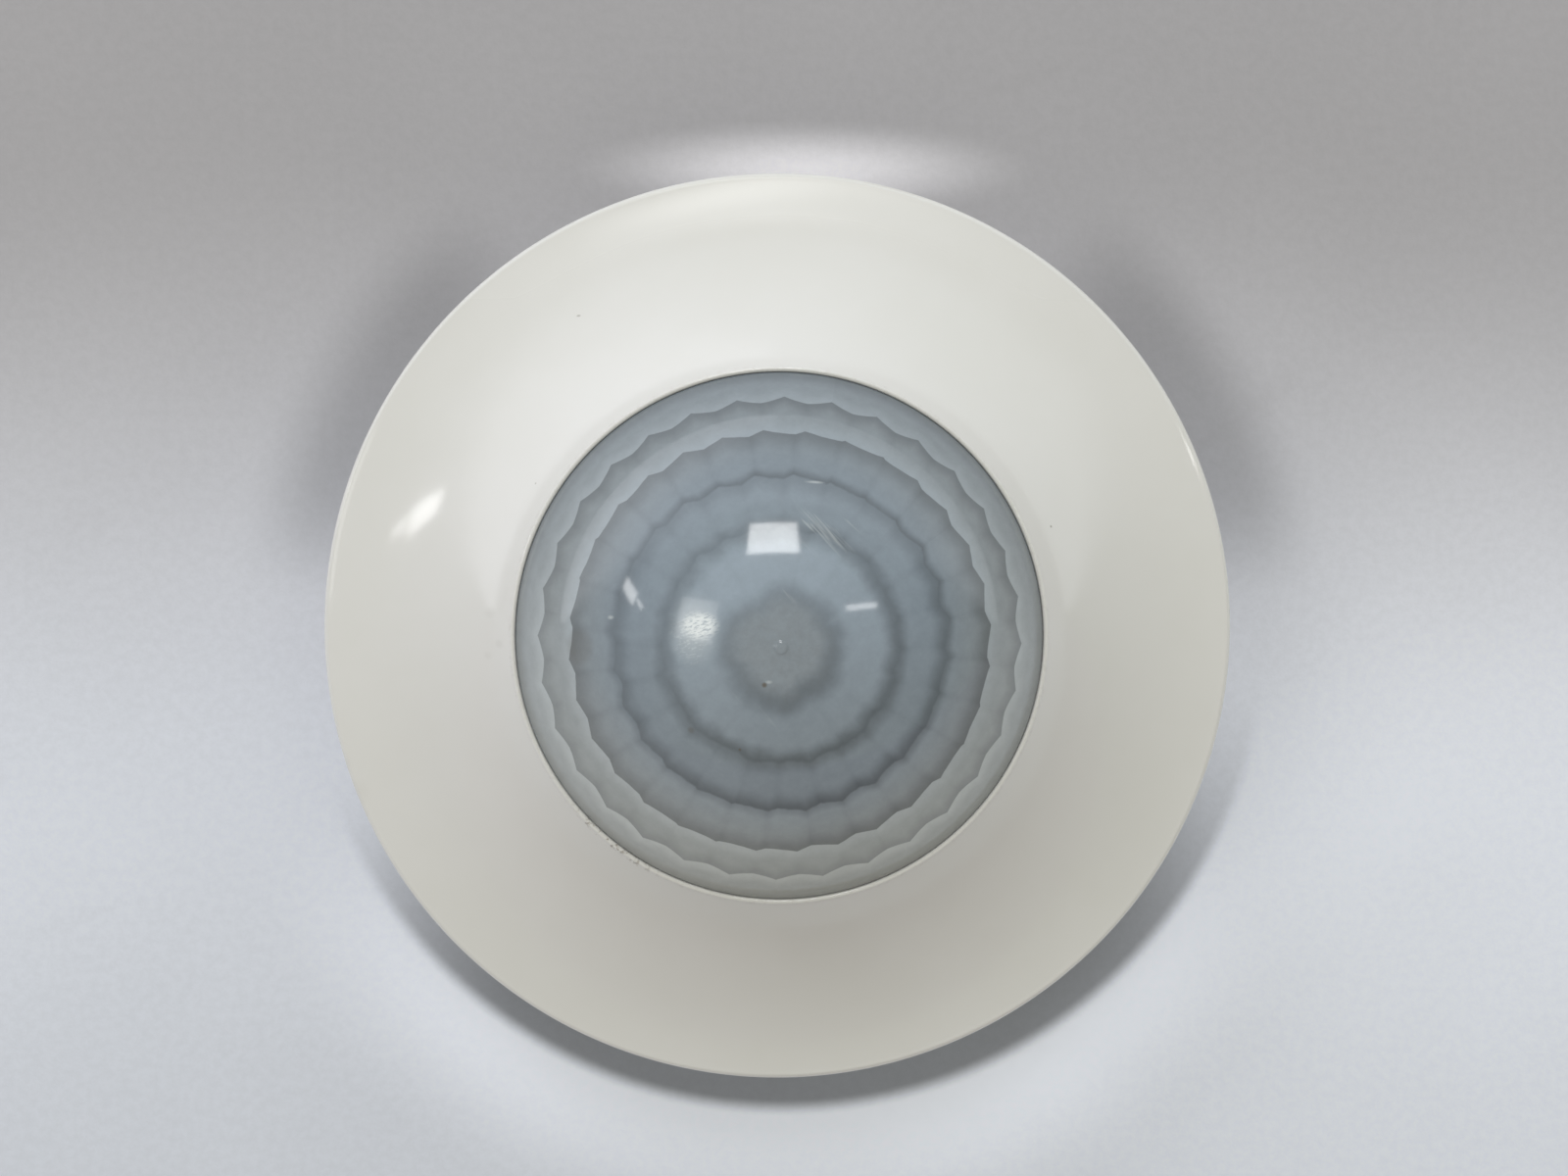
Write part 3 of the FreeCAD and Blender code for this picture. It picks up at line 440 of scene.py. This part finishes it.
def tint_spots(nodes, tone, over, places):
    """Blends a colour over the tone at spots of (middle, core, edge, squash, turn, share)."""
    for *place, share in places:
        tone = nodes.blend(nodes.math("MULTIPLY", spot(nodes, *place), share), tone, over)
    return tone


haze = milky.step(milky.noise(700, 5, 0.75), 0.3, 0.7, -0.04, 0.04)
lightness = milky.math("MULTIPLY", lightness, milky.math("ADD", haze, 1.0))
blueness = milky.step(tilt, math.radians(24), math.radians(45), 0.95, 0.35)
# Bluer toward the far side as painted colour of the far lights
blueness = milky.math("MULTIPLY_ADD", ray_parts["Y"], 0.45, blueness)
blueness = milky.math("MULTIPLY", blueness, milky.step(steps[0], -2.4, 0.6, 0.75, 1.0))
tint = milky.blend(blueness, (0.955, 1.0, 1.03), (0.83, 1.0, 1.23))
tone = milky.blend(1.0, tint, lightness, "MULTIPLY")

# Each scuff: its streaks, where they start and end to show, their share, and then the spot that holds them. The first
# two are a painted highlight: the left panel's blurred reflection, broken up by scratches
scratch_and_glint_white = (0.88, 0.94, 1.0)
glint_chips = scratches(milky, 15, 5200, 3.0)
lines = scratches(milky, -48, 1100, 14.0)
scuffs_and_glint = (
    (glint_chips, 0.36, 0.54, 0.95, (-8.0, 2.1, 61.9), 0.8, 2.0, (0.85, 1.2, 1), 15),
    (glint_chips, 0.50, 0.66, 0.30, (-8.8, 1.0, 61.8), 0.6, 3.2, (1.2, 0.9, 1), 0),
    (lines, 0.62, 0.78, 0.22, (-3.08, -6.74, 62.19), 0.5, 3.4, (0.7, 1, 1), 0),
    (lines, 0.56, 0.72, 0.42, (4.6, 12.4, 60.3), 0.4, 4.9, (1, 1, 1), 0),
    (lines, 0.60, 0.76, 0.22, (0.29, 6.77, 62.32), 0.4, 3.2, (0.6, 1, 1), 0),
)
for streaks, start, end, share, *place in scuffs_and_glint:
    amount = milky.math("MULTIPLY", milky.step(streaks, start, end), spot(milky, *place))
    tone = milky.blend(milky.math("MULTIPLY", amount, share), tone, scratch_and_glint_white)
stray = milky.step(scratches(milky, 70, 420, 24.0), 0.74, 0.82)
tone = milky.blend(milky.math("MULTIPLY", stray, 0.08), tone, scratch_and_glint_white)
dirt_and_shade_brown = colour(96, 84, 68)
dirt = milky.noise(1100, 4, 0.75)
speckle = milky.math("MULTIPLY", milky.step(dirt, 0.68, 0.80), milky.step(steps[0], -1.0, 1.2, 0.32, 0.12))
smear = milky.math("MULTIPLY", milky.step(dirt, 0.35, 0.65), milky.step(steps[0], -2.5, 1.5, 0.09, 0.0))
tone = milky.blend(milky.math("MAXIMUM", speckle, smear), tone, dirt_and_shade_brown)
# Painted highlights: a soft glow under the scuffed spot's painted reflection, then small glints on scratches and near
# the middle of the lens
tone = tint_spots(milky, tone, scratch_and_glint_white, (
    ((-8.6, 1.7, 61.8), 0.3, 3.9, (1.25, 0.9, 1), 0, 0.32),
    ((-17.2, 2.72, 58.36), 0.02, 0.30, (0.3, 1, 1), 80, 0.4),
    ((3.49, 16.36, 58.74), 0.02, 0.22, (0.15, 1, 1), -15, 0.4),
    ((-1.2, -3.4, 62.75), 0.02, 0.25, (0.5, 1, 1), 30, 0.3),
    ((-0.1, 0.3, 62.8), 0.02, 0.30, (0.5, 1, 1), -20, 0.5),
))
# The first spot is painted shade in the small hole beside the gate mark; the others are dirt and a browner facet
tone = tint_spots(milky, tone, dirt_and_shade_brown, (
    ((-1.63, -3.69, 62.75), 0.10, 0.36, (1, 1, 1), 0, 0.70),
    ((-8.96, -8.39, 60.77), 0.10, 0.50, (1, 1, 1), 0, 0.30),
    ((-4.07, -10.29, 61.19), 0.05, 0.22, (1, 1, 1), 0, 0.60),
    ((-20.6, -0.4, 56.1), 1.2, 2.3, (1, 1, 1), 0, 0.20),
))

# The light that spreads inside the milky wall comes out more evenly than off a solid face
facing = milky.add("ShaderNodeNewGeometry").outputs["Normal"]
facing_up = milky.add("ShaderNodeSeparateXYZ", {0: facing}).outputs["Z"]
evenly = milky.step(facing_up, 0.25, 0.45, 0.0, 4.0)
lifted = milky.add("ShaderNodeCombineXYZ", {2: evenly}).outputs[0]
lens.data.materials.append(milky.surface(
    Base_Color=tone,
    Roughness=0.6,
    Specular_IOR_Level=0.0,
    Coat_Weight=1.0,
    Coat_Roughness=0.08,
    Coat_IOR=1.5,
    Normal=milky.vector("NORMALIZE", milky.vector("ADD", facing, lifted)),
))
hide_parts("lens_dome")
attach(lens, "root")


# Cover
# One glossy white injection moulding that curves up to the lens, with a rolled outer edge and a fine bead round the
# opening. Four sprung fingers under it snap over the head's lip. Its far edge is warped by up to 0.2 millimetres.
def sweep(start, end, radius, count):
    """Points of the short arc between two points. With a radius above 0 its middle lies to the left of the way."""
    chord = (end[0] - start[0], end[1] - start[1])
    length = math.hypot(*chord)
    reach = math.copysign(math.sqrt(radius ** 2 - length ** 2 / 4), radius) / length
    middle = ((start[0] + end[0]) / 2 - chord[1] * reach, (start[1] + end[1]) / 2 + chord[0] * reach)
    start_angle = math.degrees(math.atan2(start[1] - middle[1], start[0] - middle[0]))
    end_angle = math.degrees(math.atan2(end[1] - middle[1], end[0] - middle[0]))
    end_angle = start_angle + (end_angle - start_angle + 180) % 360 - 180
    return arc(middle, abs(radius), start_angle, end_angle, count)


cover_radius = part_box("cover_ring")[1].x * 1000
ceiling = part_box("cover_ring")[0].z * 1000
opening = 28.97
edge_round = 0.8
edge_height = 1.33
brim_round = 0.85
bead_round = 0.31
slope_radius = 45.8
underside_radius = 47.6
rim_inside = cover_radius - 2.0
slope_foot = (cover_radius - brim_round, ceiling + 2.18)
bead_foot = (opening + 0.55, skirt_top)
lip_foot = (opening + 1.37, skirt_top - 3.4)
underside = sweep(lip_foot, (rim_inside, ceiling + 0.65), underside_radius, 18)
cover_segments = 720
cover = turned("cover", (
    sweep((cover_radius - edge_round, ceiling), (cover_radius, ceiling + edge_round), edge_round, 8)
    + sweep((cover_radius, ceiling + edge_height), slope_foot, brim_round, 10)
    + sweep(slope_foot, bead_foot, -slope_radius, 80)[1:]
    + sweep(bead_foot, (opening, skirt_top), bead_round, 8)[1:]
    + [(opening, flange_top)]
    + underside
    + [(rim_inside, ceiling), (cover_radius - edge_round, ceiling)]
), cover_segments)

# The far edge lifts at one place and drops at another, each by a height in millimetres at an azimuth in degrees, with
# a spread in degrees to both sides
lift_height, lift_azimuth, lift_spread = 0.17, 106, 15
drop_height, drop_azimuth, drop_spread = 0.19, 76, 14
warp_start = cover_radius - 4.6
warp_width = 3.8
warp_bottom = ceiling + 1.9
for corner in cover.data.vertices:
    if corner.co.z * 1000 <= warp_bottom:
        continue
    outward = (math.hypot(corner.co.x, corner.co.y) * 1000 - warp_start) / warp_width
    outward = min(max(outward, 0), 1)
    round_way = math.degrees(math.atan2(corner.co.y, corner.co.x))
    lift = lift_height * math.exp(-((round_way - lift_azimuth) / lift_spread) ** 2)
    drop = drop_height * math.exp(-((round_way - drop_azimuth) / drop_spread) ** 2)
    corner.co.z += (lift * outward ** 2 - drop * outward * (1 - 0.35 * outward ** 3)) / 1000

finger_inside = 34.7
finger_outside = 35.9
finger_overlap = 0.4
finger_top = min(underside, key=lambda place: abs(place[0] - finger_inside))[1] + finger_overlap
finger_segments = 24
finger_span = 24
barb_top = carrier_top - 2.8
barb_height = 0.7
barb_depth = 0.8
barb_tip = finger_inside - barb_depth
finger_foot = barb_top - 2 * barb_height
fingers = []
for finger_azimuth in (-12, 78, 168, 258):
    finger = turned("finger", [
        (finger_outside, finger_foot),
        (finger_outside, finger_top),
        (finger_inside, finger_top),
        (finger_inside, barb_top),
        (barb_tip, barb_top),
        (barb_tip, barb_top - barb_height),
        (finger_inside, finger_foot),
        (finger_outside, finger_foot),
    ], finger_segments, finger_azimuth, finger_span)
    finger.data.shade_flat()
    fingers.append(finger)
with bpy.context.temp_override(active_object=cover, object=cover, selected_editable_objects=[cover, *fingers]):
    bpy.ops.object.join()

glossy = Nodes("cover_gloss")
cover_clouds = glossy.step(glossy.noise(38, 4, 0.6), 0.3, 0.7)
cover_tone = glossy.blend(cover_clouds, colour(232, 232, 233), colour(229, 229, 229))
cover_tone = tint_spots(glossy, cover_tone, dirt_and_shade_brown, (
    ((30.35, 12.18, 45.21), 0.05, 0.24, (1, 1, 1), 0, 0.65),
    ((-23.2, 36.58, 39.04), 0.05, 0.20, (0.5, 1, 1), 40, 0.45),
    ((-27.03, 16.92, 45.85), 0.05, 0.20, (1, 1, 1), 0, 0.40),
    ((-32.4, 2.6, 45.5), 0.1, 0.9, (0.25, 1, 1), 100, 0.06),
    ((-31.2, -0.8, 46.5), 0.1, 0.7, (0.2, 1, 1), 60, 0.07),
    ((-33.0, -2.2, 45.2), 0.1, 0.6, (0.2, 1, 1), 125, 0.05),
    ((-50.6, -19.4, 36.2), 0.4, 2.4, (1, 1, 1), 0, 0.05),
    ((-52.3, -15.9, 36.2), 0.4, 2.2, (1, 1, 1), 0, 0.05),
))

# Grime in the seam beside the lens, most of it at the near left. The edge is less glossy at the far side
from_axis = glossy.vector("LENGTH", glossy.vector("MULTIPLY", glossy.position(), (1, 1, 0)))
seam = glossy.step(from_axis, 0.02955, 0.0299, 1.0, 0.0)
from_near_left = glossy.vector("DISTANCE", glossy.position(), (-0.0188, -0.0226, 0.0475))
seam_share = glossy.math("MULTIPLY", seam, glossy.step(from_near_left, 0.002, 0.007, 1.0, 0.12))
grime = glossy.math("MULTIPLY", glossy.step(glossy.noise(1500, 3, 0.7), 0.5, 0.66), seam_share)
cover_tone = glossy.blend(glossy.math("MULTIPLY", grime, 0.6), cover_tone, colour(112, 96, 76))
cover_y = glossy.add("ShaderNodeSeparateXYZ", {0: glossy.position()}).outputs["Y"]
far_edge = glossy.math("MULTIPLY", glossy.step(cover_y, 0.022, 0.044), glossy.step(from_axis, 0.044, 0.050))
cover.data.materials.append(glossy.surface(
    Base_Color=cover_tone,
    Roughness=glossy.math("MULTIPLY_ADD", far_edge, 0.20, 0.10),
    Specular_IOR_Level=0.5,
    Normal=glossy.relief(glossy.noise(120, 2, 0.4), 0.00002),
))
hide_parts("cover_ring")
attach(cover, "root")

# Floor
# A pale sheet of paper, darker toward the far side, on which the insert's rear face stands.
floor_mesh = bpy.data.meshes.new("floor")
floor_mesh.from_pydata([(-4, -4, 0), (4, -4, 0), (4, 4, 0), (-4, 4, 0)], [], [(0, 1, 2, 3)])
floor = bpy.data.objects.new("floor", floor_mesh)
bpy.context.scene.collection.objects.link(floor)
paper = Nodes("paper")
paper_parts = paper.add("ShaderNodeSeparateXYZ", {0: paper.position()}).outputs
near_share = paper.step(paper_parts["Y"], 0.072, -0.035)
paper_light = paper.math("MULTIPLY_ADD", near_share, 0.475, 0.475)
paper_light = paper.math("MULTIPLY", paper_light, paper.step(paper_parts["Y"], -0.025, -0.085, 1.0, 0.90))
sideways = paper.math("MULTIPLY", near_share, paper.step(paper_parts["X"], -0.09, 0.09, -0.05, 0.055))
paper_light = paper.math("MULTIPLY", paper_light, paper.math("ADD", sideways, 1.0))

# The painted shadows and light round the cover's outline as the camera sees it on the paper, by a point's millimetres
# outside it
outline_middle = (0.0013, -0.00255, 0)
outline_radius = 67.85
off_middle = paper.vector("SUBTRACT", paper.position(), outline_middle)
edge_distance = paper.math("MULTIPLY_ADD", paper.vector("LENGTH", off_middle), 1000.0, -outline_radius)
outward_way = paper.vector("NORMALIZE", off_middle)


def sector(azimuth, inner, outer):
    """1 within inner degrees of an azimuth as seen from the outline's middle, falling to 0 at outer degrees."""
    way = (math.cos(math.radians(azimuth)), math.sin(math.radians(azimuth)), 0)
    cosine = paper.vector("DOT_PRODUCT", outward_way, way)
    return paper.step(cosine, math.cos(math.radians(inner)), math.cos(math.radians(outer)), 1.0, 0.0)


# A painted pool of light beyond the far rim, and then painted shadows in bands: each one's azimuth, its inner and
# outer degrees, the distances over which it fades, and how much it changes the paper
painted_glow = spot(paper, (4, 65, 0), 0.0, 7.5, (0.21, 1, 0))
paper_light = paper.math("MULTIPLY", paper_light, paper.math("MULTIPLY_ADD", painted_glow, 1.12, 1.0))
for shadow_azimuth, inner, outer, fade_start, fade_end, change in (
        (0, 5, 35, 4.0, 28.0, -0.06),
        (30, 8, 27, 2.0, 13.5, -0.29),
        (150, 8, 27, 2.0, 15.0, -0.30),
        (276, 40, 80, 1.6, 4.4, -0.57)):
    fade = paper.step(edge_distance, fade_start, fade_end, 1.0, 0.0)
    painted_band_shadow = paper.math("MULTIPLY", sector(shadow_azimuth, inner, outer), fade)
    paper_light = paper.math("MULTIPLY", paper_light, paper.math("MULTIPLY_ADD", painted_band_shadow, change, 1.0))
paper_clouds = paper.step(paper.noise(16, 4, 0.5), 0.3, 0.7, 0.975, 1.02)
paper_light = paper.math("MULTIPLY", paper_light, paper_clouds)
fibres = paper.noise(700, 4, 0.7)
paper_light = paper.math("MULTIPLY", paper_light, paper.step(fibres, 0.3, 0.7, 0.97, 1.02))
paper_tint = paper.blend(near_share, (0.992, 0.98, 1.065), (0.95, 0.998, 1.15))
paper_tone = paper.blend(1.0, paper_tint, paper_light, "MULTIPLY")
smudge = scratches(paper, 25, 60, 3.0)
paper_tone = paper.blend(paper.step(smudge, 0.62, 0.80, 0.0, 0.05), paper_tone, dirt_and_shade_brown)

# Painted light: on the near side the paper glows a little, a few millimetres beyond the rim and fading outward, where
# the part keeps the lamps' light off it, so that the part's shadow there ends close to the rim
painted_lift = paper.math("MULTIPLY", sector(268, 15, 70), paper.step(edge_distance, 1.6, 4.6))
painted_lift = paper.math("MULTIPLY", painted_lift, paper.step(edge_distance, 4.0, 26.0, 0.19, 0.0))
floor_mesh.materials.append(paper.surface(
    Base_Color=paper_tone,
    Roughness=0.75,
    Specular_IOR_Level=0.2,
    Emission_Color=(0.97, 1.0, 1.05),
    Emission_Strength=painted_lift,
    Normal=paper.relief(fibres, 0.00004),
))


# Light
# Light panels of a plain room: a large one beyond the part, three to its left and a narrow one to its right.
def panel(name, across, beyond, width, depth, radiance, spin):
    """A level lamp that faces down. Its place and size are shares of its height above the part."""
    part_height = 0.05
    rise = 1.3
    data = bpy.data.lights.new(name, "AREA")
    data.shape = "RECTANGLE"
    data.size = width * rise
    data.size_y = depth * rise
    data.energy = radiance * math.pi * data.size * data.size_y
    lamp = bpy.data.objects.new(name, data)
    lamp.location = (across * rise, beyond * rise, part_height + rise)
    lamp.rotation_euler = (0, 0, math.radians(spin))
    bpy.context.scene.collection.objects.link(lamp)


panel("far_panel", -0.048, 0.748, 0.385, 0.315, 11.0, 1)
panel("left_panel", -0.61, 0.11, 0.34, 0.30, 2.0, -10)
panel("side_panel", -1.69, 0.47, 0.15, 0.47, 8.5, 55)
panel("side_panel_end", -1.38, 0.28, 0.17, 0.04, 8.5, -35)
panel("right_panel", 0.605, 0.205, 0.29, 0.038, 8.5, 8)

# The room's bright far wall, its dim near wall, and the ceiling between them. The camera itself sees a plain grey
room = Nodes("room", world=True)
bpy.context.scene.world = room.material
gaze = room.add("ShaderNodeTexCoord").outputs["Generated"]
gaze_parts = room.add("ShaderNodeSeparateXYZ", {0: gaze}).outputs
upward = room.math("MAXIMUM", gaze_parts["Z"], 0.02)
beyond = room.math("DIVIDE", gaze_parts["Y"], upward)
across = room.math("DIVIDE", gaze_parts["X"], upward)
right_share = room.step(across, -0.8, 0.8)
ceiling_tone = room.blend(room.step(across, 0.0, 2.0), (0.50, 0.49, 0.39), (0.17, 0.17, 0.11))
ceiling_tone = room.blend(room.step(across, -0.3, -2.0), ceiling_tone, (0.33, 0.33, 0.33))
far_tone = room.blend(right_share, (1.17, 1.19, 1.22), (1.03, 1.07, 1.07))
far_tone = room.blend(room.step(across, -0.6, -2.2), far_tone, (1.60, 1.62, 1.68))
near_tone = room.blend(right_share, (0.39, 0.35, 0.35), (0.21, 0.165, 0.18))
aside = room.math("ABSOLUTE", across)
wall_start = room.step(aside, 0.1, 1.2, 1.12, 0.40)
wall_softness = room.step(aside, 0.1, 1.0, 0.14, 0.95)
into_wall = room.math("DIVIDE", room.math("SUBTRACT", beyond, wall_start), wall_softness)
sky = room.blend(room.step(into_wall, 0.0, 1.0), ceiling_tone, far_tone)
sky = room.blend(room.step(beyond, -1.16, -1.24), sky, near_tone)
camera_ray = room.add("ShaderNodeLightPath").outputs["Is Camera Ray"]
sky = room.blend(camera_ray, sky, (0.72, 0.73, 0.75))
background = room.add("ShaderNodeBackground", {"Color": sky, "Strength": 1.0})
room.add("ShaderNodeOutputWorld", {"Surface": background.outputs[0]})
bpy.context.scene.view_settings.view_transform = "Standard"
